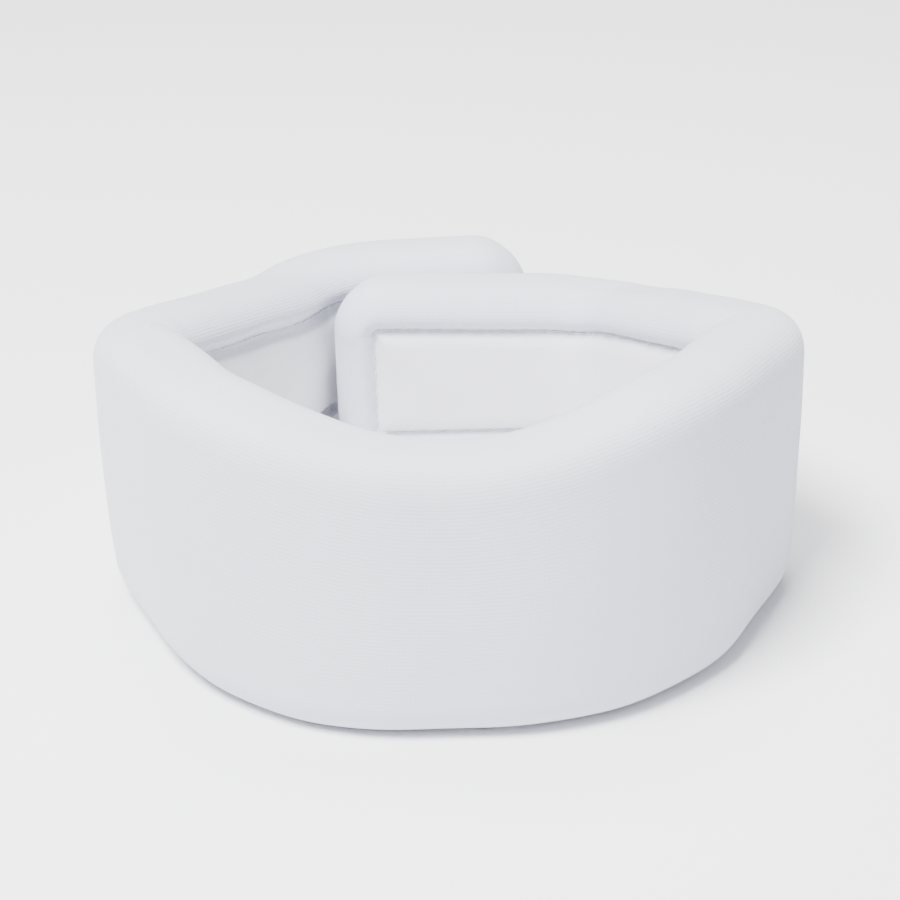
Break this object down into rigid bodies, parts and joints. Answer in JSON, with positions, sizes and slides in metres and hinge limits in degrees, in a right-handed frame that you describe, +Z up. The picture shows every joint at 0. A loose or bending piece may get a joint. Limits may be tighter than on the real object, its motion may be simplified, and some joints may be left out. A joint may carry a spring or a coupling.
{
  "type": "cervical collar",
  "caption": "Soft foam neck collar in a knitted cover, closed in a ring by a hook-and-loop fastener at the back.",
  "frame": {"origin": "centre of the collar in plan, on the surface that it stands on", "axes": "+Z up, the chin towards -Y, the fastening at the back towards +Y, +X to the wearer's left"},
  "size_m": [0.183, 0.2046, 0.08],
  "materials": {
    "knit_cover": "fine rib-knit cotton stockinette",
    "knit_lining": "fine rib-knit cotton stockinette",
    "foam": "soft open-cell polyurethane foam",
    "thread": "spun polyester sewing thread",
    "hook_tape": "woven nylon tape with moulded hooks",
    "loop_tape": "napped nylon loop pile"
  },
  "bodies": {
    "front": {"cover_front": "knit_cover", "lining_front": "knit_lining", "foam_front": "foam", "seam_top_front": "thread", "seam_bottom_front": "thread"},
    "left_wing": {"cover_left_wing": "knit_cover", "lining_left_wing": "knit_lining", "foam_left_wing": "foam", "seam_top_left_wing": "thread", "seam_bottom_left_wing": "thread"},
    "outer_end": {"cover_outer_end": "knit_cover", "lining_outer_end": "knit_lining", "foam_outer_end": "foam", "seam_outer_end": "thread", "hook_strip": "hook_tape", "hook_stitching": "thread"},
    "right_wing": {"cover_right_wing": "knit_cover", "lining_right_wing": "knit_lining", "foam_right_wing": "foam", "seam_right_wing": "thread", "loop_strip": "loop_tape", "loop_stitching": "thread"}
  },
  "joints": [
    {"name": "left_wing_open", "type": "hinge", "parent": "front", "child": "left_wing", "pos_m": [-0.09145, -0.01722, 0], "axis": [0, 0, 1], "range_deg": [0, 60]},
    {"name": "outer_end_peel", "type": "hinge", "parent": "left_wing", "child": "outer_end", "pos_m": [-0.04452, 0.09457, 0], "axis": [0, 0, 1], "range_deg": [0, 70]},
    {"name": "right_wing_open", "type": "hinge", "parent": "front", "child": "right_wing", "pos_m": [0.09147, -0.02091, 0], "axis": [0, 0, -1], "range_deg": [0, 30]}
  ],
  "couplings": [
    {"joint": "right_wing_open", "follows": "left_wing_open", "ratio": 0.5}
  ]
}
